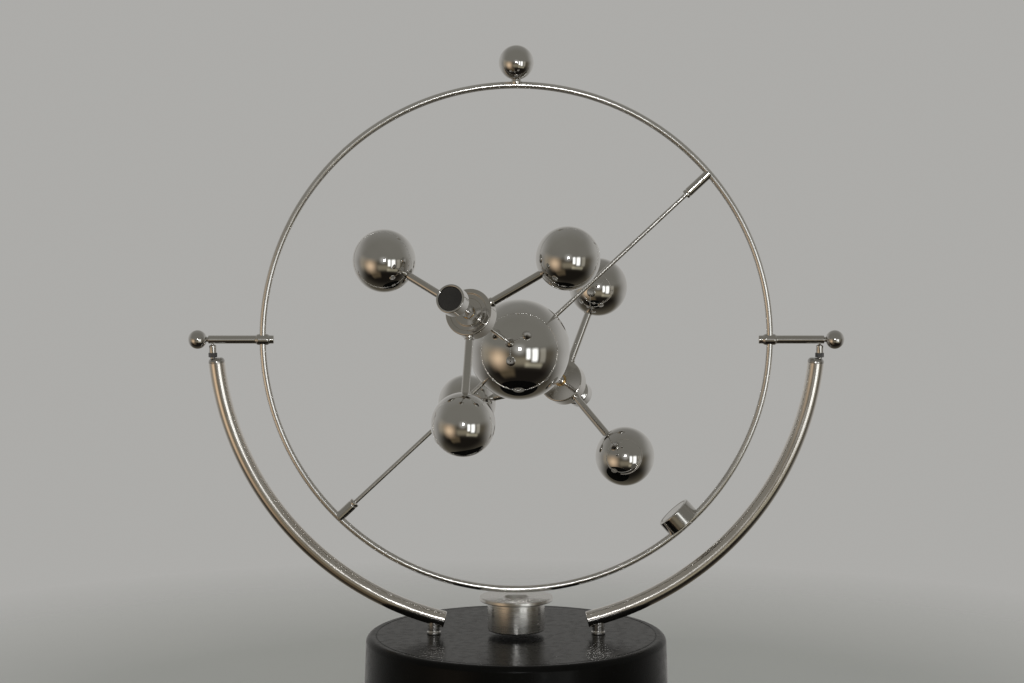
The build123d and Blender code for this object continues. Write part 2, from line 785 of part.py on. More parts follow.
def make_cross_end(name, outward):
    """One half of the cross axle with its collars, magnet cup and magnet."""

    def station(distance):
        return shaft_plane(mobile_centre + outward * distance, outward, tilt_direction)

    cup_back = end_cup_face - end_cup_length
    with BuildPart() as cross_axle:
        with BuildSketch(station(axle_seat_radius + fit_gap)):
            Circle(axle_radius)
        extrude(amount=cup_back + end_cup_floor - axle_seat_radius - fit_gap)
    finish(cross_axle, f"{name}_cross_axle")

    inner_face = hub_offset - hub_thickness / 2 - axial_gap
    collar_bore = axle_radius + fit_gap
    inner_collar = ring_shape(
        station(inner_face - collar_length), inner_collar_radius, collar_bore, collar_length
    )
    finish(inner_collar, f"{name}_inner_collar")

    outer_face = hub_offset + hub_thickness / 2 + axial_gap
    axle_nut = ring_shape(
        station(outer_face), axle_nut_radius, collar_bore, collar_length, RegularPolygon
    )
    finish(axle_nut, f"{name}_axle_nut")

    with BuildPart() as magnet_cup:
        with BuildSketch(station(cup_back)):
            Circle(end_cup_radius)
        extrude(amount=end_cup_length)
        fillet(magnet_cup.edges().filter_by(GeomType.CIRCLE), end_cup_edge)
        with BuildSketch(station(cup_back + end_cup_floor)):
            Circle(end_cup_radius - end_cup_wall)
        extrude(amount=end_cup_length, mode=Mode.SUBTRACT)
        with BuildSketch(station(cup_back)):
            Circle(collar_bore)
        extrude(amount=end_cup_floor, mode=Mode.SUBTRACT)
    finish(magnet_cup, f"{name}_magnet_cup")

    magnet_length = end_cup_length - end_cup_floor - end_magnet_recess
    with BuildPart() as end_magnet:
        with BuildSketch(station(cup_back + end_cup_floor)):
            Circle(end_cup_radius - end_cup_wall - fit_gap)
        extrude(amount=magnet_length)
        chamfer(end_magnet.edges(), end_magnet_edge)
    finish(end_magnet, f"{name}_end_magnet")


# ---- Spinners -----------------------------------------------------------------------------------


def make_spinner(name, outward, phase):
    """A hub disc on its bush, with three spokes and three balls."""
    hub_centre = mobile_centre + outward * hub_offset
    middle = shaft_plane(hub_centre, outward, tilt_direction)
    inner_plane = middle.offset(-hub_thickness / 2)
    outer_plane = middle.offset(hub_thickness / 2)

    def spoke_plane(number, distance):
        turn = radians(phase + 120 * number)
        spoke_direction = middle.x_dir * cos(turn) + middle.y_dir * sin(turn)
        return shaft_plane(hub_centre + spoke_direction * distance, spoke_direction)

    with BuildPart() as hub:
        with BuildSketch(inner_plane):
            Circle(hub_radius)
        extrude(amount=hub_thickness)
        fillet(hub.edges().filter_by(GeomType.CIRCLE), hub_edge)
        with BuildSketch(outer_plane):
            Circle(hub_groove_outer)
            Circle(hub_groove_inner, mode=Mode.SUBTRACT)
        extrude(amount=-hub_groove_depth, mode=Mode.SUBTRACT)
        with BuildSketch(inner_plane):
            Circle(bush_radius + fit_gap)
        extrude(amount=hub_thickness, mode=Mode.SUBTRACT)
        for number in range(3):
            with BuildSketch(spoke_plane(number, spoke_inner - fit_gap)):
                Circle(spoke_radius + fit_gap)
            extrude(amount=hub_radius, mode=Mode.SUBTRACT)
    finish(hub, f"{name}_hub")

    bush = ring_shape(inner_plane, bush_radius, axle_radius + running_gap, hub_thickness)
    finish(bush, f"{name}_hub_bush")

    ball_seat = spinner_arm - spinner_ball_radius + spoke_seat
    with BuildPart() as spokes:
        for number in range(3):
            with BuildSketch(spoke_plane(number, spoke_inner)):
                Circle(spoke_radius)
            extrude(amount=ball_seat - spoke_inner)
    finish(spokes, f"{name}_spokes")

    for number in range(3):
        ball_plane = spoke_plane(number, spinner_arm)
        with BuildPart() as ball:
            with Locations(ball_plane):
                Sphere(spinner_ball_radius)
            with BuildSketch(spoke_plane(number, ball_seat + fit_gap)):
                Circle(spoke_radius + fit_gap)
            extrude(amount=-spinner_ball_radius, mode=Mode.SUBTRACT)
        finish(ball, f"{name}_ball_{number + 1}")


ends = {
    "front": (cross_direction, front_phase),
    "rear": (-cross_direction, rear_phase),
}

for end_name, (outward, phase) in ends.items():
    make_cross_end(end_name, outward)
    make_spinner(end_name, outward, phase)
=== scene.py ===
import json
import math

import bmesh
import bpy
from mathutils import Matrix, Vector


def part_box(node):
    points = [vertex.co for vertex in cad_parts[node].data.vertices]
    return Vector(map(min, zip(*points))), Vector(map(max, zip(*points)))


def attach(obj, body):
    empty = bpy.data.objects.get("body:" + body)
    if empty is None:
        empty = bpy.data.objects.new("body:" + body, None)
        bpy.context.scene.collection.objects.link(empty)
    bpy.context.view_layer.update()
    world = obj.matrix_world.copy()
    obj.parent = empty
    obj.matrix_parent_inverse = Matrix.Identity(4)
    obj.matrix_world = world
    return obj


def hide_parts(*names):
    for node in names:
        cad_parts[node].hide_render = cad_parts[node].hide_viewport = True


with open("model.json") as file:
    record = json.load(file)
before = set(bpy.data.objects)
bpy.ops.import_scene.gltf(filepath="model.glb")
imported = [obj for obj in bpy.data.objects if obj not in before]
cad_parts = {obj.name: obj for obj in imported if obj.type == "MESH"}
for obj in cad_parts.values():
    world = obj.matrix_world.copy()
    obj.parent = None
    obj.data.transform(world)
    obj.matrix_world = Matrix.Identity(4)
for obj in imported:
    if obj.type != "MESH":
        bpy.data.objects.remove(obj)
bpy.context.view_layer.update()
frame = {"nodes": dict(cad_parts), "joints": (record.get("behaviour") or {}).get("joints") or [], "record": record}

MM = 0.001

# ---- The frame's axes and points ----------------------------------------------------------------

joints = {joint["name"]: joint for joint in frame["joints"]}
RIGHT = Vector((1, 0, 0))
BACK = Vector((0, 1, 0))
UP = Vector((0, 0, 1))
PIVOT = Vector(joints["ring_rock"]["pos_m"])
MOBILE = Vector(joints["mobile_turn"]["pos_m"])
TILT = Vector(joints["mobile_turn"]["axis"]).normalized()
OUTWARD = {
    "front": Vector(joints["front_spin"]["axis"]).normalized(),
    "rear": Vector(joints["rear_spin"]["axis"]).normalized(),
}
SIDES = {"left": -1, "right": 1}


def centre(node):
    """The middle of a CAD node's box."""
    low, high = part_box(node)
    return (low + high) / 2


def side_of(sign):
    """Keeps the vertices on one side of the object."""
    return lambda point: point.x * sign > 0


def span(node, origin, axis, keep=None):
    """First and last distance of a CAD node along an axis, and its largest radius about it."""
    first, last, radius = math.inf, -math.inf, 0.0
    for vertex in frame["nodes"][node].data.vertices:
        if keep and not keep(vertex.co):
            continue
        offset = vertex.co - origin
        along = offset.dot(axis)
        first = min(first, along)
        last = max(last, along)
        radius = max(radius, (offset - axis * along).length)
    return first, last, radius


# ---- Mesh making --------------------------------------------------------------------------------

NEAR_VERTICAL = 0.9
CORNER_SHARE = 0.45
ON_AXIS = 1e-7
SAME_POINT = 1e-8
SMOOTH_ANGLE = 32
NORMAL_WEIGHT = 60

# Faces round a turned piece, by how large it looks.
ROUND_THIN = 32
ROUND_SPOKE = 40
ROUND_SMALL = 48
ROUND_MEDIUM = 64
ROUND_END_CUP = 80
ROUND_LARGE = 96
ROUND_BALL = 112
ROUND_CENTRE_BALL = 160
ROUND_BASE = 192


def cross_basis(axis):
    """Two directions square to an axis."""
    helper = UP if abs(axis.z) < NEAR_VERTICAL else RIGHT
    u = axis.cross(helper).normalized()
    return u, axis.cross(u).normalized()


def arc(centre_point, radius, start, end, steps):
    """Profile points (along, out) on an arc; angles in degrees, counted from the axis."""
    points = []
    for i in range(steps + 1):
        turn = math.radians(start + (end - start) * i / steps)
        points.append(
            (centre_point[0] + radius * math.cos(turn), centre_point[1] + radius * math.sin(turn))
        )
    return points


def rounded(points, radius, steps=4):
    """A profile with each inner corner turned into a small curve."""
    result = [points[0]]
    for before, corner, after in zip(points, points[1:], points[2:]):
        p = Vector(corner)
        a = Vector(before) - p
        b = Vector(after) - p
        reach = min(radius, a.length * CORNER_SHARE, b.length * CORNER_SHARE)
        start = p + a.normalized() * reach
        end = p + b.normalized() * reach
        for i in range(steps + 1):
            t = i / steps
            result.append(tuple(start * (1 - t) ** 2 + p * 2 * t * (1 - t) + end * t**2))
    result.append(points[-1])
    return result


def closed(points, radius, steps=4):
    """A rounded profile that ends where it starts, for a piece with a hole through it."""
    return rounded(points, radius, steps) + [points[0]]


def bar(first, last, radius, edge):
    """The profile of a plain cylinder with softened ends."""
    return rounded([(first, 0), (first, radius), (last, radius), (last, 0)], edge)


def lathe(bm, origin, axis, profile, segments=ROUND_MEDIUM):
    """Turns a profile of (distance along the axis, radius) points into a closed skin."""
    u, v = cross_basis(axis)
    rows = []
    for along, radius in profile:
        middle = origin + axis * along
        if radius < ON_AXIS:
            rows.append([bm.verts.new(middle)])
            continue
        row = []
        for i in range(segments):
            turn = 2 * math.pi * i / segments
            row.append(bm.verts.new(middle + (u * math.cos(turn) + v * math.sin(turn)) * radius))
        rows.append(row)
    for lower, upper in zip(rows, rows[1:]):
        for i in range(segments):
            j = (i + 1) % segments
            if len(lower) == 1 and len(upper) == 1:
                break
            if len(lower) == 1:
                bm.faces.new((lower[0], upper[j], upper[i]))
            elif len(upper) == 1:
                bm.faces.new((lower[i], lower[j], upper[0]))
            else:
                bm.faces.new((lower[i], lower[j], upper[j], upper[i]))
    if len(rows[0]) > 1 and profile[0] == profile[-1]:
        bmesh.ops.remove_doubles(bm, verts=rows[0] + rows[-1], dist=SAME_POINT)


def bend_row(bm, bend_centre, bend_radius, section, angle, side, segments):
    """One ring of a bent tube's skin, at an angle in degrees from straight down, towards side."""
    turn = math.radians(angle)
    outward = Vector((side * math.sin(turn), 0, -math.cos(turn)))
    middle = bend_centre + outward * bend_radius
    row = []
    for k in range(segments):
        around = 2 * math.pi * k / segments
        across = outward * math.cos(around) + BACK * math.sin(around)
        row.append(bm.verts.new(middle + across * section))
    return row


def join_rows(bm, rows):
    """Faces between each ring of vertices and the next."""
    for near, far in zip(rows, rows[1:]):
        for k in range(len(near)):
            j = (k + 1) % len(near)
            bm.faces.new((near[k], near[j], far[j], far[k]))


def piece(name, build, material, body, replaced):
    """A named object from a mesh builder, riding on a body and standing for its CAD nodes."""
    bm = bmesh.new()
    build(bm)
    bmesh.ops.recalc_face_normals(bm, faces=bm.faces)
    mesh = bpy.data.meshes.new(name)
    bm.to_mesh(mesh)
    bm.free()
    mesh.shade_smooth()
    mesh.set_sharp_from_angle(angle=math.radians(SMOOTH_ANGLE))
    obj = bpy.data.objects.new(name, mesh)
    bpy.context.scene.collection.objects.link(obj)
    mesh.materials.append(material)
    normals = obj.modifiers.new("normals", "WEIGHTED_NORMAL")
    normals.keep_sharp = True
    normals.weight = NORMAL_WEIGHT
    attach(obj, body)
    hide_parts(*replaced)


def turned(name, origin, axis, profile, material, body, replaced, segments=ROUND_MEDIUM):
    """One lathe-turned piece."""

    def build(bm):
        lathe(bm, origin, axis, profile, segments)

    piece(name, build, material, body, replaced)


# ---- Materials ----------------------------------------------------------------------------------

# Noise sizes are in cycles per metre.
HAZE_SCALE = 55
MARK_SCALE = 160
RIPPLE_SCALE = 180
RIPPLE_HEIGHT = 0.012 * MM
METAL_TONE_SCALE = 70
LINE_SCALE = 900
LINE_RELIEF_SCALE = 1100
LINE_HEIGHT = 0.006 * MM
LINE_STRETCH = (0.03, 0.03, 1)
LINE_WEAR = 0.08
METAL_RELIEF = 0.1
PLASTIC_TONE_SCALE = 60
PLASTIC_GLOSS_SCALE = 350
PLASTIC_WEAR = 0.1
GRAIN_SCALE = 1500
GRAIN_RELIEF = 0.35
LOWEST_ROUGHNESS = 0.01


class Finish:
    """A node material: a Principled shader with procedural colour, roughness and bump."""

    def __init__(self, name, colour, metallic, roughness, **inputs):
        self.material = bpy.data.materials.new(name)
        self.material.use_nodes = True
        self.material.diffuse_color = (*colour, 1)
        self.nodes = self.material.node_tree.nodes
        self.links = self.material.node_tree.links
        self.shader = self.nodes["Principled BSDF"]
        self.shader.inputs["Base Color"].default_value = (*colour, 1)
        self.shader.inputs["Metallic"].default_value = metallic
        self.shader.inputs["Roughness"].default_value = roughness
        for key, value in inputs.items():
            self.shader.inputs[key.replace("_", " ")].default_value = value
        self.colour = colour
        self.roughness = roughness
        self.place = self.nodes.new("ShaderNodeTexCoord").outputs["Object"]

    def noise(self, scale, detail, stretch=(1, 1, 1)):
        """A noise value with its own size; stretch below 1 draws it out along that axis."""
        mapping = self.nodes.new("ShaderNodeMapping")
        mapping.inputs["Scale"].default_value = stretch
        self.links.new(self.place, mapping.inputs["Vector"])
        noise = self.nodes.new("ShaderNodeTexNoise")
        noise.inputs["Scale"].default_value = scale
        noise.inputs["Detail"].default_value = detail
        self.links.new(mapping.outputs["Vector"], noise.inputs["Vector"])
        return noise.outputs["Fac"]

    def ranged(self, value, low, high, start=0.35, end=0.65):
        """A value stretched from start..end to low..high."""
        scaled = self.nodes.new("ShaderNodeMapRange")
        scaled.inputs["From Min"].default_value = start
        scaled.inputs["From Max"].default_value = end
        scaled.inputs["To Min"].default_value = low
        scaled.inputs["To Max"].default_value = high
        self.links.new(value, scaled.inputs["Value"])
        return scaled.outputs["Result"]

    def vary_roughness(self, value, amount):
        """Roughness that changes by amount, with the finish's own value in the middle."""
        low = max(self.roughness - amount / 2, LOWEST_ROUGHNESS)
        varied = self.ranged(value, low, self.roughness + amount / 2)
        self.links.new(varied, self.shader.inputs["Roughness"])

    def vary_colour(self, value, other, start=0.4, end=0.6):
        """Colour from the finish's own to another one."""
        ramp = self.nodes.new("ShaderNodeValToRGB")
        ramp.color_ramp.elements[0].position = start
        ramp.color_ramp.elements[0].color = (*self.colour, 1)
        ramp.color_ramp.elements[1].position = end
        ramp.color_ramp.elements[1].color = (*other, 1)
        self.links.new(value, ramp.inputs["Fac"])
        self.links.new(ramp.outputs["Color"], self.shader.inputs["Base Color"])

    def bump(self, value, strength, distance):
        """Relief from a value, in metres of height."""
        bump = self.nodes.new("ShaderNodeBump")
        bump.inputs["Strength"].default_value = strength
        bump.inputs["Distance"].default_value = distance
        self.links.new(value, bump.inputs["Height"])
        self.links.new(bump.outputs["Normal"], self.shader.inputs["Normal"])


def polished(name, colour, dull, roughness, wear, ripple=RIPPLE_SCALE):
    """Chrome with faint handling marks, haze and a slight ripple."""
    finish = Finish(name, colour, 1.0, roughness)
    finish.vary_colour(finish.noise(HAZE_SCALE, 4), dull, 0.42, 0.7)
    finish.vary_roughness(finish.noise(MARK_SCALE, 6), wear)
    finish.bump(finish.noise(ripple, 2), METAL_RELIEF, RIPPLE_HEIGHT)
    return finish.material


def satin(name, colour, dull, roughness):
    """Brushed or turned metal: fine level lines round the piece."""
    finish = Finish(name, colour, 1.0, roughness)
    finish.vary_colour(finish.noise(METAL_TONE_SCALE, 4), dull, 0.35, 0.7)
    finish.vary_roughness(finish.noise(LINE_SCALE, 3, LINE_STRETCH), LINE_WEAR)
    finish.bump(finish.noise(LINE_RELIEF_SCALE, 2, LINE_STRETCH), METAL_RELIEF, LINE_HEIGHT)
    return finish.material


def moulded(name, colour, light, roughness, grain=0.06 * MM, **inputs):
    """Moulded plastic or rubber with a fine grain."""
    finish = Finish(name, colour, 0.0, roughness, **inputs)
    finish.vary_colour(finish.noise(PLASTIC_TONE_SCALE, 4), light, 0.35, 0.75)
    finish.vary_roughness(finish.noise(PLASTIC_GLOSS_SCALE, 5), PLASTIC_WEAR)
    finish.bump(finish.noise(GRAIN_SCALE, 3), GRAIN_RELIEF, grain)
    return finish.material


CHROME = (0.72, 0.715, 0.7)
CHROME_DULL = (0.64, 0.63, 0.615)
AXLE_RIPPLE_SCALE = 60

chrome_ball = polished("chrome_ball", CHROME, CHROME_DULL, 0.035, 0.04)
chrome_tube = polished("chrome_tube", (0.85, 0.825, 0.79), (0.78, 0.745, 0.705), 0.17, 0.06)
chrome_wire = polished("chrome_wire", (0.87, 0.865, 0.855), (0.8, 0.79, 0.775), 0.2, 0.06)
chrome_rod = polished("chrome_rod", (0.7, 0.69, 0.67), (0.64, 0.625, 0.6), 0.12, 0.07)
chrome_collar = polished("chrome_collar", CHROME, CHROME_DULL, 0.06, 0.06)
chrome_hub = polished("chrome_hub", (0.68, 0.665, 0.64), (0.61, 0.59, 0.56), 0.07, 0.06)
magnet_nickel = polished("magnet_nickel", (0.6, 0.59, 0.57), (0.5, 0.49, 0.47), 0.14, 0.08)
axle_steel = polished(
    "axle_steel", (0.76, 0.75, 0.735), (0.68, 0.67, 0.65), 0.26, 0.06, AXLE_RIPPLE_SCALE
)
satin_plate = satin("satin_plate", (0.68, 0.67, 0.65), (0.6, 0.59, 0.57), 0.27)
turned_steel = satin("turned_steel", (0.58, 0.57, 0.55), (0.48, 0.47, 0.46), 0.25)
zinc_screw = satin("zinc_screw", (0.6, 0.6, 0.57), (0.48, 0.48, 0.45), 0.35)
spring_steel = satin("spring_steel", (0.6, 0.6, 0.6), (0.5, 0.5, 0.5), 0.3)
nickel_contact = satin("nickel_contact", (0.64, 0.62, 0.58), (0.55, 0.53, 0.5), 0.3)
soft_iron = satin("soft_iron", (0.3, 0.3, 0.31), (0.22, 0.21, 0.21), 0.4)
bush_brass = satin("bush_brass", (0.72, 0.52, 0.25), (0.6, 0.42, 0.2), 0.25)
copper_winding = satin("copper_winding", (0.62, 0.26, 0.12), (0.5, 0.2, 0.09), 0.3)
gloss_black = moulded(
    "gloss_black", (0.004, 0.004, 0.0038), (0.006, 0.006, 0.0056), 0.24, 0.001 * MM,
    Specular_IOR_Level=0.07,
)
moulded_black = moulded("moulded_black", (0.03, 0.03, 0.03), (0.045, 0.045, 0.045), 0.5)
foot_rubber = moulded("foot_rubber", (0.045, 0.045, 0.045), (0.07, 0.07, 0.07), 0.8, 0.1 * MM)
dark_nut = moulded("dark_nut", (0.04, 0.04, 0.045), (0.09, 0.09, 0.09), 0.35, 0.02 * MM)
magnet_black = moulded(
    "magnet_black", (0.018, 0.018, 0.018), (0.035, 0.034, 0.033), 0.55, 0.1 * MM
)
bobbin_nylon = moulded("bobbin_nylon", (0.7, 0.68, 0.62), (0.78, 0.76, 0.7), 0.4)
board_green = moulded("board_green", (0.03, 0.16, 0.06), (0.05, 0.22, 0.09), 0.3)
component_black = moulded("component_black", (0.03, 0.03, 0.035), (0.06, 0.06, 0.06), 0.4)
cell_wrap = moulded("cell_wrap", (0.05, 0.06, 0.07), (0.08, 0.09, 0.1), 0.3, 0.01 * MM)

NODE_MATERIALS = {
    "gloss_black": gloss_black,
    "moulded_black": moulded_black,
    "foot_rubber": foot_rubber,
    "zinc_screw": zinc_screw,
    "cell_wrap": cell_wrap,
    "spring_steel": spring_steel,
    "nickel_contact": nickel_contact,
    "bobbin_nylon": bobbin_nylon,
    "copper_winding": copper_winding,
    "soft_iron": soft_iron,
    "board_green": board_green,
    "component_black": component_black,
    "chrome_tube": chrome_tube,
    "turned_steel": turned_steel,
    "dark_nut": dark_nut,
    "chrome_wire": chrome_wire,
    "chrome_rod": chrome_rod,
    "chrome_ball": chrome_ball,
    "satin_plate": satin_plate,
    "magnet_black": magnet_black,
    "magnet_nickel": magnet_nickel,
    "axle_steel": axle_steel,
    "chrome_collar": chrome_collar,
    "chrome_hub": chrome_hub,
    "bush_brass": bush_brass,
}

for part in frame["record"]["subparts"]:
    mesh = frame["nodes"][part["node"]].data
    mesh.materials.clear()
    mesh.materials.append(NODE_MATERIALS[part["material_slot"]])

# ---- Base ---------------------------------------------------------------------------------------

shell_low, shell_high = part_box("base_shell")
SHELL_BOTTOM_RADIUS = (shell_high.x - shell_low.x) / 2
SHELL_TOP_RADIUS = SHELL_BOTTOM_RADIUS - 1.5 * MM
SHELL_WALL = 2.2 * MM
SHELL_TOP_THICKNESS = 2.4 * MM
SHOULDER = 2.4 * MM
SHOULDER_END = 88
GROOVE_INSET = 1.2 * MM
GROOVE_WIDTH = 0.5 * MM
GROOVE_FLOOR = 0.1 * MM
GROOVE_DEPTH = 0.22 * MM
SHELL_FOOT_EDGE = 0.8 * MM
DRAFT_START = 1.2 * MM
DRAFT_INSET = 0.04 * MM


def base_shell_profile():
    """Half section of the shell: a fine groove, a rounded shoulder, draft, hollow inside."""
    top = shell_high.z
    bottom = shell_low.z
    ceiling = top - SHELL_TOP_THICKNESS
    edge = SHELL_TOP_RADIUS - SHOULDER - GROOVE_INSET
    middle = edge - GROOVE_WIDTH / 2
    profile = [(top, 0), (top, edge - GROOVE_WIDTH)]
    profile += [(top - GROOVE_DEPTH, middle - GROOVE_FLOOR / 2)]
    profile += [(top - GROOVE_DEPTH, middle + GROOVE_FLOOR / 2), (top, edge)]
    profile += arc((top - SHOULDER, SHELL_TOP_RADIUS - SHOULDER), SHOULDER, 0, SHOULDER_END, 14)
    profile += [(bottom + DRAFT_START, SHELL_BOTTOM_RADIUS - DRAFT_INSET)]
    foot = (bottom + SHELL_FOOT_EDGE, SHELL_BOTTOM_RADIUS - SHELL_FOOT_EDGE)
    profile += arc(foot, SHELL_FOOT_EDGE, 90, 180, 6)
    profile += [(bottom, SHELL_BOTTOM_RADIUS - SHELL_WALL)]
    profile += [(ceiling, SHELL_TOP_RADIUS - SHELL_WALL), (ceiling, 0)]
    return profile


turned(
    "base_shell_skin", Vector(), UP, base_shell_profile(),
    gloss_black, "base", ["base_shell"], ROUND_BASE,
)

# ---- Support arms -------------------------------------------------------------------------------

ARM_BEND_RADIUS = 110.2 * MM
ARM_BEND_CENTRE = Vector((0, 0, 155.9 * MM))
ARM_RADIUS = 3.05 * MM
ARM_BORE_RADIUS = 2.3 * MM
ARM_INNER_X = 26.3 * MM
ARM_TIP_Z = 144.6 * MM
ARM_EDGE = 0.25 * MM
ARM_START = math.degrees(math.asin(ARM_INNER_X / ARM_BEND_RADIUS))
ARM_END = math.degrees(math.acos((ARM_BEND_CENTRE.z - ARM_TIP_Z) / ARM_BEND_RADIUS))
ARM_STEPS = 160
BORE_STEPS = 80


def build_arm(side):
    """A closed chrome tube: outer skin, bore and softened cut ends."""
    edge_turn = math.degrees(ARM_EDGE / ARM_BEND_RADIUS)

    def stretch(bm, section, start, end, steps):
        angles = [start + (end - start) * i / steps for i in range(steps + 1)]
        return [
            bend_row(bm, ARM_BEND_CENTRE, ARM_BEND_RADIUS, section, angle, side, ROUND_SPOKE)
            for angle in angles
        ]

    def build(bm):
        outer = stretch(bm, ARM_RADIUS, ARM_START + edge_turn, ARM_END - edge_turn, ARM_STEPS)
        rim = stretch(bm, ARM_RADIUS - ARM_EDGE, ARM_START, ARM_END, 1)
        bore = stretch(bm, ARM_BORE_RADIUS, ARM_START, ARM_END, BORE_STEPS)
        join_rows(bm, [rim[0]] + outer + [rim[1]] + bore[::-1] + [rim[0]])

    return build


for side_name, sign in SIDES.items():
    node = f"{side_name}_support_arm"
    piece(f"{node}_tube", build_arm(sign), chrome_tube, "base", [node])

# ---- Ferrules, plugs and needles on the arms ----------------------------------------------------

FERRULE_X = 30.4 * MM
FERRULE_FLANGE = 1.0 * MM
FERRULE_SLOPE = 0.3 * MM
FERRULE_WAIST = 0.88
FERRULE_INSET = 1.2 * MM
FERRULE_EDGE = 0.2 * MM


def build_ferrules(bm):
    for sign in SIDES.values():
        origin = Vector((sign * FERRULE_X, 0, 0))
        first, last, radius = span("arm_ferrules", origin, UP, side_of(sign))
        waist = radius * FERRULE_WAIST
        flange = first + FERRULE_FLANGE
        profile = [
            (first, 0), (first, radius), (flange, radius), (flange + FERRULE_SLOPE, waist),
            (last + FERRULE_INSET, waist), (last + FERRULE_INSET, 0),
        ]
        lathe(bm, origin, UP, rounded(profile, FERRULE_EDGE))


piece("arm_ferrules_turned", build_ferrules, turned_steel, "base", ["arm_ferrules"])

PLUG_DEPTH = 5 * MM
PLUG_GAP = 0.15 * MM
DOME_GAP = 0.05 * MM
DOME_LIFT = 0.25 * MM
DOME_EDGE = 1.4 * MM
DOME_START = 80


def build_plugs(bm):
    """A domed plug in the upper end of each arm."""
    turn = math.radians(ARM_END)
    for sign in SIDES.values():
        axis = Vector((sign * math.cos(turn), 0, math.sin(turn)))
        outward = Vector((sign * math.sin(turn), 0, -math.cos(turn)))
        tip = ARM_BEND_CENTRE + outward * ARM_BEND_RADIUS
        plug = ARM_BORE_RADIUS - PLUG_GAP
        dome = ARM_RADIUS - DOME_GAP
        profile = [(-PLUG_DEPTH, 0), (-PLUG_DEPTH, plug), (0, plug), (0, dome)]
        profile += arc((DOME_LIFT, dome - DOME_EDGE), DOME_EDGE, DOME_START, 0, 10)
        profile += [(DOME_LIFT + DOME_EDGE, 0)]
        lathe(bm, tip, axis, profile)


piece("tip_plugs_turned", build_plugs, turned_steel, "base", ["tip_plugs"])

needles_low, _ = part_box("pivot_needles")
_, nuts_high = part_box("pivot_lock_nuts")
POST_X = 111.0 * MM
POST_RADIUS = 1.35 * MM
POST_TAPER = 0.5 * MM
SHANK_RADIUS = 0.9 * MM
NEEDLE_LENGTH = 1.7 * MM
NEEDLE_RADIUS = 0.35 * MM
NEEDLE_POINT = 0.04 * MM
NEEDLE_EDGE = 0.08 * MM


def build_needles(bm):
    """A shank through the lock nut, a post above it and the needle that carries the ring."""
    for sign in SIDES.values():
        origin = Vector((sign * POST_X, 0, 0))
        shoulder = PIVOT.z - NEEDLE_LENGTH
        profile = [
            (needles_low.z, 0), (needles_low.z, SHANK_RADIUS), (nuts_high.z, SHANK_RADIUS),
            (nuts_high.z, POST_RADIUS), (shoulder - POST_TAPER, POST_RADIUS),
            (shoulder, NEEDLE_RADIUS), (PIVOT.z, NEEDLE_POINT), (PIVOT.z, 0),
        ]
        lathe(bm, origin, UP, rounded(profile, NEEDLE_EDGE, 3), ROUND_SMALL)


piece("pivot_needles_turned", build_needles, chrome_rod, "base", ["pivot_needles"])

# ---- Ring and its pivot rods --------------------------------------------------------------------

ring_low, ring_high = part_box("ring")
WIRE_RADIUS = (ring_high.y - ring_low.y) / 2
RING_RADIUS = 92.7 * MM
RING_STEPS = 288


def build_ring(bm):
    rows = []
    for i in range(RING_STEPS):
        angle = 360 * i / RING_STEPS
        rows.append(bend_row(bm, PIVOT, RING_RADIUS, WIRE_RADIUS, angle, 1, ROUND_THIN))
    join_rows(bm, rows + [rows[0]])


piece("ring_wire", build_ring, chrome_wire, "ring", ["ring"])

ROD_RADIUS = 1.5 * MM
ROD_END_X = 112.6 * MM
ROD_EDGE = 0.35 * MM
ROD_FERRULE_START = 90.2 * MM
ROD_FERRULE_END = 95.2 * MM
ROD_FERRULE_SLOPE = 0.6 * MM
ROD_FERRULE_RADIUS = 2.0 * MM
NECK_RADIUS = 0.9 * MM


def build_rod(sign, node):
    """A rod with a thicker ferrule on the ring's wire and a neck for the knob."""

    def build(bm):
        axis = RIGHT * sign
        first, last, _ = span(node, PIVOT, axis)
        profile = [
            (first, 0), (first, ROD_RADIUS), (ROD_FERRULE_START, ROD_RADIUS),
            (ROD_FERRULE_START + ROD_FERRULE_SLOPE, ROD_FERRULE_RADIUS),
            (ROD_FERRULE_END - ROD_FERRULE_SLOPE, ROD_FERRULE_RADIUS),
            (ROD_FERRULE_END, ROD_RADIUS), (ROD_END_X, ROD_RADIUS), (ROD_END_X, NECK_RADIUS),
            (last, NECK_RADIUS), (last, 0),
        ]
        lathe(bm, PIVOT, axis, rounded(profile, ROD_EDGE, 5), ROUND_SMALL)

    return build


for side_name, sign in SIDES.items():
    node = f"{side_name}_pivot_rod"
    piece(f"{node}_turned", build_rod(sign, node), chrome_rod, "ring", [node])

MOUTH_FLARE = 1.25
MOUTH_DEPTH = 0.25 * MM


def ball_profile(radius, bore, bore_bottom, rings=64):
    """A ball centred at 0 with a bore from the positive end and a small dished mouth."""
    mouth = bore * MOUTH_FLARE
    start = math.degrees(math.asin(mouth / radius))
    profile = [(bore_bottom, 0), (bore_bottom, bore)]
    profile += [(math.sqrt(radius**2 - mouth**2) - MOUTH_DEPTH, bore)]
    profile += arc((0, 0), radius, start, 180, rings)
    profile[-1] = (-radius, 0)
    return profile


_, knobs_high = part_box("pivot_knobs")
KNOB_RADIUS = 3.48 * MM
KNOB_BORE_BOTTOM = 1.0 * MM
KNOB_RINGS = 32


def build_knobs(bm):
    profile = ball_profile(KNOB_RADIUS, NECK_RADIUS, KNOB_BORE_BOTTOM, KNOB_RINGS)
    for sign in SIDES.values():
        knob = Vector((sign * (knobs_high.x - KNOB_RADIUS), 0, PIVOT.z))
        lathe(bm, knob, -RIGHT * sign, profile)


piece("pivot_knobs_turned", build_knobs, chrome_ball, "ring", ["pivot_knobs"])

# ---- Top ball, swing magnet and side magnet -----------------------------------------------------

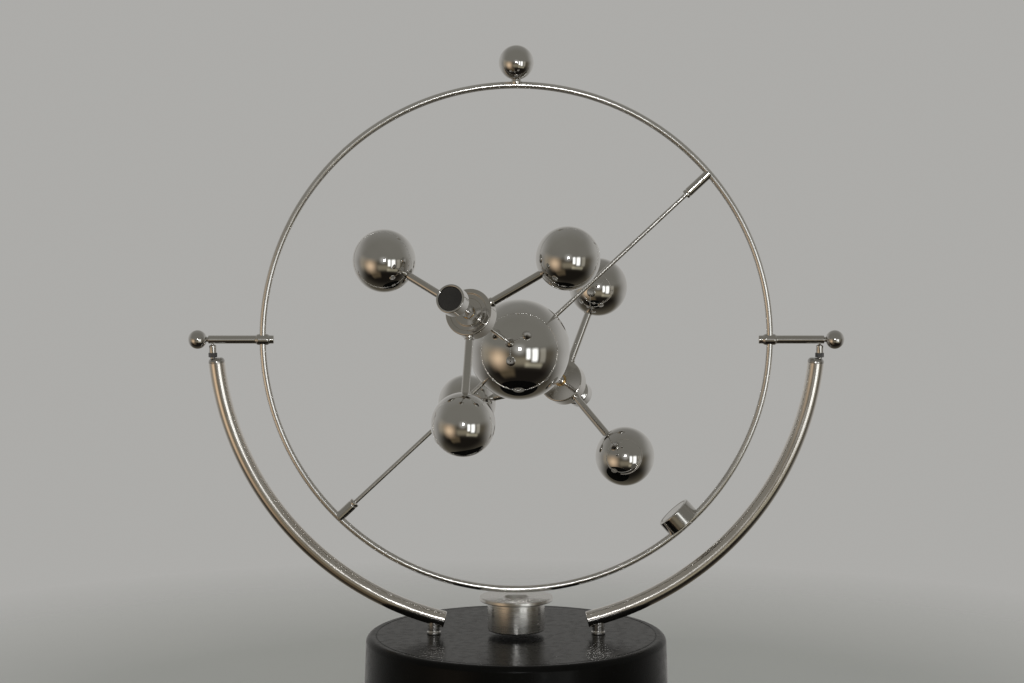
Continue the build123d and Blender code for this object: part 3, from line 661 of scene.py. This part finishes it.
top_low, top_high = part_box("top_ball")
TOP_BALL_RADIUS = (top_high.x - top_low.x) / 2
TOP_BALL = Vector((0, 0, top_high.z - TOP_BALL_RADIUS))
TOP_BALL_BORE_BOTTOM = 3.9 * MM
stem_low, stem_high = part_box("top_ball_stem")
STEM_BORE_RADIUS = 1.8 * MM
STEM_RADIUS = STEM_BORE_RADIUS * 0.98
STEM_FOOT_RADIUS = 1.9 * MM
STEM_FOOT_START = 0.2 * MM
STEM_FOOT_END = 1.5 * MM
STEM_SLOPE = 0.5 * MM
STEM_EDGE = 0.3 * MM


def stem_profile():
    """A short stem with a slightly wider foot on the ring's wire."""
    start = stem_low.z + STEM_FOOT_START
    foot = stem_low.z + STEM_FOOT_END
    points = [
        (start, 0), (start, STEM_FOOT_RADIUS), (foot, STEM_FOOT_RADIUS),
        (foot + STEM_SLOPE, STEM_RADIUS), (stem_high.z, STEM_RADIUS), (stem_high.z, 0),
    ]
    return rounded(points, STEM_EDGE)


turned(
    "top_ball_turned", TOP_BALL, -UP,
    ball_profile(TOP_BALL_RADIUS, STEM_BORE_RADIUS, TOP_BALL_BORE_BOTTOM),
    chrome_ball, "ring", ["top_ball"], ROUND_LARGE,
)
turned(
    "top_ball_stem_turned", Vector(), UP, stem_profile(),
    chrome_rod, "ring", ["top_ball_stem"],
)

plate_low, plate_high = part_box("magnet_plate")
PLATE_RADIUS = (plate_high.x - plate_low.x) / 2
PLATE_THICKNESS = 1.5 * MM
PLATE_EDGE = 0.28 * MM
BOSS_FOOT = 0.36
BOSS_TOP = 0.26
BOSS_HEIGHT = 0.7 * MM


def magnet_plate_profile():
    """A thin disc with a raised boss that carries the ring."""
    top = plate_low.z + PLATE_THICKNESS
    points = [
        (plate_low.z, 0), (plate_low.z, PLATE_RADIUS), (top, PLATE_RADIUS),
        (top, PLATE_RADIUS * BOSS_FOOT), (top + BOSS_HEIGHT, PLATE_RADIUS * BOSS_TOP),
        (top + BOSS_HEIGHT, 0),
    ]
    return rounded(points, PLATE_EDGE)


turned(
    "magnet_plate_turned", Vector(), UP, magnet_plate_profile(),
    satin_plate, "ring", ["magnet_plate"], ROUND_LARGE,
)

cup_low, cup_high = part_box("swing_magnet_cup")
CUP_RADIUS = (cup_high.x - cup_low.x) / 2
CUP_WALL = 1.2 * MM
CUP_EDGE = 0.45 * MM


def swing_cup_profile():
    """A sleeve that is closed at the top."""
    bore = CUP_RADIUS - CUP_WALL
    ceiling = cup_high.z - CUP_WALL
    points = [
        (ceiling, 0), (ceiling, bore), (cup_low.z, bore), (cup_low.z, CUP_RADIUS),
        (cup_high.z, CUP_RADIUS), (cup_high.z, 0),
    ]
    return rounded(points, CUP_EDGE, 5)


turned(
    "swing_magnet_cup_turned", Vector(), UP, swing_cup_profile(),
    satin_plate, "ring", ["swing_magnet_cup"], ROUND_LARGE,
)

magnet_low, magnet_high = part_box("swing_magnet")
MAGNET_GAP = 0.02 * MM
MAGNET_EDGE = 0.4 * MM
turned(
    "swing_magnet_disc", Vector(), UP,
    bar(magnet_low.z, magnet_high.z, CUP_RADIUS - CUP_WALL - MAGNET_GAP, MAGNET_EDGE),
    magnet_black, "ring", ["swing_magnet"], ROUND_LARGE,
)

# Radii of the face groove, as shares of the magnet's radius: inner edge, floor, outer edge.
SIDE_GROOVE = (0.78, 0.8, 0.86, 0.88)
SIDE_GROOVE_DEPTH = 0.25 * MM
SIDE_MAGNET_EDGE = 0.4 * MM
side_axis = (centre("side_magnet") - PIVOT).normalized()


def side_magnet_profile():
    """A short cylinder with a shallow groove in the face that looks at the ring's centre."""
    first, last, radius = span("side_magnet", PIVOT, side_axis)
    inner, inner_floor, outer_floor, outer = (radius * share for share in SIDE_GROOVE)
    floor = first + SIDE_GROOVE_DEPTH
    points = [
        (first, 0), (first, inner), (floor, inner_floor), (floor, outer_floor), (first, outer),
        (first, radius), (last, radius), (last, 0),
    ]
    return rounded(points, SIDE_MAGNET_EDGE)


turned(
    "side_magnet_turned", PIVOT, side_axis, side_magnet_profile(),
    magnet_nickel, "ring", ["side_magnet"], ROUND_LARGE,
)

# ---- Bearings, slanted axle and centre ball -----------------------------------------------------

BEARING_BORE = 0.85 * MM
BEARING_BORE_DEPTH = 6 * MM
BEARING_WAIST = 0.9
BEARING_GROOVE_START = 0.9 * MM
BEARING_GROOVE_MIDDLE = 1.3 * MM
BEARING_GROOVE_END = 1.6 * MM
BEARING_EDGE = 0.22 * MM
AXLE_EDGE = 0.3 * MM


def bearing_profile(node, outward):
    """A collar with a grooved mouth that the axle's end turns in."""
    first, last, radius = span(node, MOBILE, outward)
    points = [
        (last, 0), (last, radius), (first + BEARING_GROOVE_END, radius),
        (first + BEARING_GROOVE_MIDDLE, radius * BEARING_WAIST),
        (first + BEARING_GROOVE_START, radius), (first, radius), (first, BEARING_BORE),
        (first + BEARING_BORE_DEPTH, BEARING_BORE), (first + BEARING_BORE_DEPTH, 0),
    ]
    return rounded(points, BEARING_EDGE)


for end_name, outward in (("lower", -TILT), ("upper", TILT)):
    node = f"{end_name}_bearing"
    turned(
        f"{node}_turned", MOBILE, outward, bearing_profile(node, outward),
        chrome_rod, "ring", [node], ROUND_SMALL,
    )
    node = f"{end_name}_tilt_axle"
    turned(
        f"{node}_turned", MOBILE, outward, bar(*span(node, MOBILE, outward), AXLE_EDGE),
        axle_steel, "mobile", [node], ROUND_THIN,
    )

BIG_BALL_RADIUS = 18.5 * MM
BIG_BALL_RINGS = 96
BIG_BALL_BORE_BOTTOM = 10.5 * MM
AXLE_RADIUS = 0.8 * MM
BIG_BALL_BORE = AXLE_RADIUS * 1.05
BIG_BALL_MOUTH = AXLE_RADIUS * 1.35


def centre_ball_profile():
    """The big ball, drilled from both ends along the slanted axle."""
    start = math.degrees(math.asin(BIG_BALL_MOUTH / BIG_BALL_RADIUS))
    edge = math.sqrt(BIG_BALL_RADIUS**2 - BIG_BALL_MOUTH**2) - MOUTH_DEPTH
    drilled = [(BIG_BALL_BORE_BOTTOM, 0), (BIG_BALL_BORE_BOTTOM, BIG_BALL_BORE), (edge, BIG_BALL_BORE)]
    profile = drilled + arc((0, 0), BIG_BALL_RADIUS, start, 180 - start, BIG_BALL_RINGS)
    return profile + [(-along, radius) for along, radius in reversed(drilled)]


turned(
    "centre_ball_turned", MOBILE, TILT, centre_ball_profile(),
    chrome_ball, "mobile", ["centre_ball"], ROUND_CENTRE_BALL,
)

# ---- Cross axle ---------------------------------------------------------------------------------

CROSS_AXLE_EDGE = 0.2 * MM
COLLAR_EDGE = 0.2 * MM
COLLAR_GROOVE = 0.2 * MM
COLLAR_WAIST = 0.86
END_CUP_FLOOR = 1.6 * MM
END_CUP_WALL = 0.85 * MM
END_CUP_TAPER = 0.9 * MM
END_CUP_BACK = 0.72
END_CUP_EDGE = 0.38 * MM
END_MAGNET_EDGE = 0.3 * MM


def make_cross_axle(end_name, outward):
    node = f"{end_name}_cross_axle"
    turned(
        f"{node}_turned", MOBILE, outward, bar(*span(node, MOBILE, outward), CROSS_AXLE_EDGE),
        axle_steel, "mobile", [node], ROUND_THIN,
    )


def make_inner_collar(end_name, outward):
    """The spacer between the centre ball and the hub, with a fine groove round its middle."""
    node = f"{end_name}_inner_collar"
    first, last, radius = span(node, MOBILE, outward)
    middle = (first + last) / 2
    points = [
        (first, AXLE_RADIUS), (first, radius), (middle - COLLAR_GROOVE, radius),
        (middle, radius * COLLAR_WAIST), (middle + COLLAR_GROOVE, radius), (last, radius),
        (last, AXLE_RADIUS),
    ]
    turned(
        f"{node}_turned", MOBILE, outward, closed(points, COLLAR_EDGE),
        chrome_collar, "mobile", [node], ROUND_SMALL,
    )


def make_magnet_cup(end_name, outward):
    """The thin-walled cup at the end of the cross axle, tapered at its back."""
    node = f"{end_name}_magnet_cup"
    first, last, radius = span(node, MOBILE, outward)
    floor = first + END_CUP_FLOOR
    bore = radius - END_CUP_WALL
    points = [
        (floor, AXLE_RADIUS), (floor, bore), (last, bore), (last, radius),
        (first + END_CUP_TAPER, radius), (first, radius * END_CUP_BACK), (first, AXLE_RADIUS),
    ]
    turned(
        f"{node}_turned", MOBILE, outward, closed(points, END_CUP_EDGE, 5),
        chrome_collar, "mobile", [node], ROUND_END_CUP,
    )


def make_end_magnet(end_name, outward):
    node = f"{end_name}_end_magnet"
    turned(
        f"{node}_disc", MOBILE, outward, bar(*span(node, MOBILE, outward), END_MAGNET_EDGE),
        magnet_black, "mobile", [node],
    )


# ---- Spinners -----------------------------------------------------------------------------------

# Radii of the groove in the hub's outer face, as shares of the hub's radius.
HUB_GROOVE = (0.8, 0.78, 0.6, 0.58)
HUB_GROOVE_DEPTH = 0.4 * MM
HUB_EDGE = 0.5 * MM
BUSH_BORE = AXLE_RADIUS + 0.05 * MM
BUSH_GAP = 0.02 * MM
BUSH_EDGE = 0.2 * MM
SPOKE_RADIUS = 1.45 * MM
SPOKE_START = 4.2 * MM
SPOKE_INSET = 7.3 * MM
SPOKE_EDGE = 0.15 * MM
SPOKE_COLLAR = 1.22
SPOKE_COLLAR_LENGTH = 0.9 * MM
SPOKE_COLLAR_INSET = 0.2 * MM
BALL_BORE = SPOKE_RADIUS * 1.02
BALL_BORE_DEPTH = 4 * MM
BALL_INSET = 0.09 * MM
BALL_RINGS = 72


def make_hub(end_name, outward, body):
    """The hub disc and its bush; gives the hub's centre and radius."""
    node = f"{end_name}_hub"
    bush_node = f"{end_name}_hub_bush"
    first, last, radius = span(node, MOBILE, outward)
    bush_radius = span(bush_node, MOBILE, outward)[2]
    outer, outer_floor, inner_floor, inner = (radius * share for share in HUB_GROOVE)
    floor = last - HUB_GROOVE_DEPTH
    hub = [
        (first, bush_radius), (first, radius), (last, radius), (last, outer),
        (floor, outer_floor), (floor, inner_floor), (last, inner), (last, bush_radius),
    ]
    turned(
        f"{node}_turned", MOBILE, outward, closed(hub, HUB_EDGE, 6),
        chrome_hub, body, [node], ROUND_LARGE,
    )
    skin = bush_radius - BUSH_GAP
    bush = [(first, BUSH_BORE), (first, skin), (last, skin), (last, BUSH_BORE)]
    turned(
        f"{bush_node}_turned", MOBILE, outward, closed(bush, BUSH_EDGE),
        bush_brass, body, [bush_node], ROUND_SMALL,
    )
    return MOBILE + outward * (first + last) / 2, radius


def spoke_profile(length, hub_radius):
    """A rod from inside the hub into the ball, with a small collar on the hub's rim."""
    collar = hub_radius - SPOKE_COLLAR_INSET
    collar_end = collar + SPOKE_COLLAR_LENGTH
    collar_radius = SPOKE_RADIUS * SPOKE_COLLAR
    end = length - SPOKE_INSET
    points = [
        (SPOKE_START, 0), (SPOKE_START, SPOKE_RADIUS), (collar, SPOKE_RADIUS),
        (collar, collar_radius), (collar_end, collar_radius), (collar_end, SPOKE_RADIUS),
        (end, SPOKE_RADIUS), (end, 0),
    ]
    return rounded(points, SPOKE_EDGE)


def make_spinner(end_name, outward):
    """A hub with its bush, spokes and balls."""
    body = f"{end_name}_spinner"
    hub_centre, hub_radius = make_hub(end_name, outward, body)
    nodes = [f"{end_name}_ball_{number}" for number in (1, 2, 3)]
    balls = {node: centre(node) for node in nodes}

    def build_spokes(bm):
        for ball in balls.values():
            reach = ball - hub_centre
            profile = spoke_profile(reach.length, hub_radius)
            lathe(bm, hub_centre, reach.normalized(), profile, ROUND_SPOKE)

    node = f"{end_name}_spokes"
    piece(f"{node}_turned", build_spokes, chrome_rod, body, [node])
    for node, ball in balls.items():
        low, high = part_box(node)
        radius = max(high - low) / 2 - BALL_INSET
        profile = ball_profile(radius, BALL_BORE, radius - BALL_BORE_DEPTH, BALL_RINGS)
        turned(
            f"{node}_turned", ball, (hub_centre - ball).normalized(), profile,
            chrome_ball, body, [node], ROUND_BALL,
        )


for end_name, outward in OUTWARD.items():
    make_cross_axle(end_name, outward)
    make_inner_collar(end_name, outward)
    make_magnet_cup(end_name, outward)
    make_end_magnet(end_name, outward)
    make_spinner(end_name, outward)

# ---- Stage: floor -------------------------------------------------------------------------------

FLOOR_SIZE = 1.2
FLOOR_SOLID = 0.2
FLOOR_FADED = 0.38
FLOOR_COLOUR = (0.66, 0.685, 0.67)
FLOOR_SHADE = (0.64, 0.665, 0.655)
FLOOR_ROUGHNESS = 0.5
FLOOR_TONE_SCALE = 6


def direction_to(azimuth, elevation):
    """Unit vector from the object; azimuth 0 is towards the viewer, positive to the right."""
    turn, rise = math.radians(azimuth), math.radians(elevation)
    return Vector(
        (math.sin(turn) * math.cos(rise), -math.cos(turn) * math.cos(rise), math.sin(rise))
    )


def make_floor():
    """A pale floor that fades into the wall's colour away from the object."""
    mesh = bpy.data.meshes.new("floor")
    half = FLOOR_SIZE / 2
    corners = [(-half, -half, 0), (half, -half, 0), (half, half, 0), (-half, half, 0)]
    mesh.from_pydata(corners, [], [(0, 1, 2, 3)])
    floor = bpy.data.objects.new("floor", mesh)
    bpy.context.scene.collection.objects.link(floor)
    paint = Finish("floor_paint", FLOOR_COLOUR, 0.0, FLOOR_ROUGHNESS)
    paint.vary_colour(paint.noise(FLOOR_TONE_SCALE, 4), FLOOR_SHADE)
    away = paint.nodes.new("ShaderNodeVectorMath")
    away.operation = "LENGTH"
    paint.links.new(paint.place, away.inputs[0])
    cover = paint.ranged(away.outputs["Value"], 1.0, 0.0, FLOOR_SOLID, FLOOR_FADED)
    paint.links.new(cover, paint.shader.inputs["Alpha"])
    mesh.materials.append(paint.material)
    floor.visible_glossy = False


# ---- Stage: room, light and camera --------------------------------------------------------------

WALL = (0.415, 0.41, 0.395)
WALL_REFLECTED = (0.46, 0.45, 0.43)
WALL_REFLECTED_HIGH = (0.25, 0.243, 0.225)
CEILING = (0.2, 0.192, 0.17)
ROOM_NEAR = (0.1, 0.088, 0.066)
ROOM_BELOW = (0.012, 0.010, 0.008)
# Where one shade passes into the next: elevations in degrees, and y of the direction for the wall.
BELOW_TO_NEAR = (-45, -8)
NEAR_TO_CEILING = (-6, 14)
WALL_TO_HIGH = (8, 50)
NEAR_TO_WALL = (-50, -12)
ROOM_TO_WALL = (-0.3, 0.8)
# Soft boxes of the room in front, in degrees: azimuths, elevations, edge softness, colour.
ROOM_BOXES = (
    ((-94, -70), (-22, 8), 12, (0.2, 0.17, 0.13)),
    ((-66, -34), (-30, 0), 16, (0.74, 0.54, 0.36)),
    ((-58, -14), (-56, -34), 7, (0.08, 0.06, 0.035)),
    ((-22, 24), (-30, -12), 7, (0.16, 0.14, 0.1)),
    ((17, 25), (-15, 8), 4, (1.9, 1.95, 1.95)),
    ((30, 43), (-20, 7), 4.5, (1.6, 1.62, 1.6)),
    ((49, 63), (-22, 6), 4, (0.24, 0.23, 0.2)),
    ((14, 58), (-33, -24), 5, (0.3, 0.28, 0.21)),
    ((-9, 9), (-2, 14), 10, (0.4, 0.4, 0.4)),
)


class World:
    """Small helpers that add nodes to the world and give back their outputs."""

    def __init__(self, name):
        world = bpy.data.worlds.new(name)
        bpy.context.scene.world = world
        world.use_nodes = True
        self.nodes, self.links = world.node_tree.nodes, world.node_tree.links
        self.background = self.nodes["Background"]

    def ramp(self, value, low, high):
        """0 to 1 between low and high, with soft ends; falls where low is above high."""
        node = self.nodes.new("ShaderNodeMapRange")
        node.interpolation_type = "SMOOTHSTEP"
        node.inputs["From Min"].default_value = low
        node.inputs["From Max"].default_value = high
        self.links.new(value, node.inputs["Value"])
        return node.outputs["Result"]

    def mix(self, factor, first, second, blend="MIX"):
        """Two colours, each a tuple or another node's output, mixed by a factor."""
        node = self.nodes.new("ShaderNodeMix")
        node.data_type = "RGBA"
        node.blend_type = blend
        self.links.new(factor, node.inputs["Factor"])
        for socket, value in ((node.inputs[6], first), (node.inputs[7], second)):
            if isinstance(value, tuple):
                socket.default_value = (*value, 1)
            else:
                self.links.new(value, socket)
        return node.outputs[2]

    def maths(self, operation, *values):
        """One arithmetic step on numbers or other nodes' outputs."""
        node = self.nodes.new("ShaderNodeMath")
        node.operation = operation
        for socket, value in zip(node.inputs, values):
            if isinstance(value, (int, float)):
                socket.default_value = value
            else:
                self.links.new(value, socket)
        return node.outputs["Value"]

    def between(self, value, low, high, soft):
        """1 from low to high, with soft ends."""
        rise = self.ramp(value, low - soft, low + soft)
        return self.maths("MULTIPLY", rise, self.ramp(value, high + soft, high - soft))


def make_world():
    """A pale wall for the camera; reflections also meet the dim room on the viewer's side."""
    world = World("studio")
    place = world.nodes.new("ShaderNodeTexCoord")
    split = world.nodes.new("ShaderNodeSeparateXYZ")
    world.links.new(place.outputs["Generated"], split.inputs["Vector"])
    x, y, z = split.outputs
    towards = world.maths("MULTIPLY", y, -1)
    azimuth = world.maths("DEGREES", world.maths("ARCTAN2", x, towards))
    elevation = world.maths("DEGREES", world.maths("ARCSINE", z))
    below = world.mix(world.ramp(elevation, *BELOW_TO_NEAR), ROOM_BELOW, ROOM_NEAR)
    room = world.mix(world.ramp(elevation, *NEAR_TO_CEILING), below, CEILING)
    high = world.mix(world.ramp(elevation, *WALL_TO_HIGH), WALL_REFLECTED, WALL_REFLECTED_HIGH)
    wall = world.mix(world.ramp(elevation, *NEAR_TO_WALL), ROOM_NEAR, high)
    around = world.mix(world.ramp(y, *ROOM_TO_WALL), room, wall)
    for azimuths, elevations, soft, colour in ROOM_BOXES:
        across = world.between(azimuth, *azimuths, soft)
        upright = world.between(elevation, *elevations, soft)
        around = world.mix(world.maths("MULTIPLY", across, upright), around, colour, "ADD")
    camera_ray = world.nodes.new("ShaderNodeLightPath").outputs["Is Camera Ray"]
    world.links.new(world.mix(camera_ray, around, WALL), world.background.inputs["Color"])


# Azimuth and elevation, distance, width and height, colour, radiance, seen in reflections.
LIGHTS = {
    "flash": ((1, 8), 1.1, (0.1, 0.1), (1.0, 1.0, 1.0), 26.0, True),
    "soft_left": ((-35, 48), 1.3, (1.1, 0.9), (1.0, 0.97, 0.93), 0.9, False),
    "soft_right": ((40, 55), 1.3, (1.1, 0.9), (0.95, 0.98, 1.0), 0.9, False),
}


def make_light(name, direction, distance, size, colour, radiance, glossy):
    """A soft rectangular light aimed at the ring's pivots."""
    away = direction_to(*direction)
    data = bpy.data.lights.new(name, "AREA")
    data.shape = "RECTANGLE"
    data.size, data.size_y = size
    data.color = colour
    data.energy = radiance * size[0] * size[1] * math.pi
    light = bpy.data.objects.new(name, data)
    bpy.context.scene.collection.objects.link(light)
    light.location = PIVOT + away * distance
    light.rotation_mode = "QUATERNION"
    light.rotation_quaternion = away.to_track_quat("Z", "Y")
    light.visible_camera = False
    light.visible_glossy = glossy


CAMERA_LENS = 100.1
CAMERA_SENSOR = 36
CAMERA_CLIP = (0.01, 50)
CAMERA_DISTANCE = 1.0413
CAMERA_ELEVATION = 6.3
CAMERA_TARGET = Vector((-0.00154, 0, 0.15226))


def make_camera():
    data = bpy.data.cameras.new("camera")
    data.lens = CAMERA_LENS
    data.sensor_width = CAMERA_SENSOR
    data.clip_start, data.clip_end = CAMERA_CLIP
    camera = bpy.data.objects.new("camera", data)
    bpy.context.scene.collection.objects.link(camera)
    back = direction_to(0, CAMERA_ELEVATION)
    camera.location = CAMERA_TARGET + back * CAMERA_DISTANCE
    camera.rotation_mode = "QUATERNION"
    camera.rotation_quaternion = (-back).to_track_quat("-Z", "Y")
    bpy.context.scene.camera = camera


make_floor()
make_world()
for light_name, settings in LIGHTS.items():
    make_light(light_name, *settings)
make_camera()
bpy.context.scene.view_settings.view_transform = "Standard"
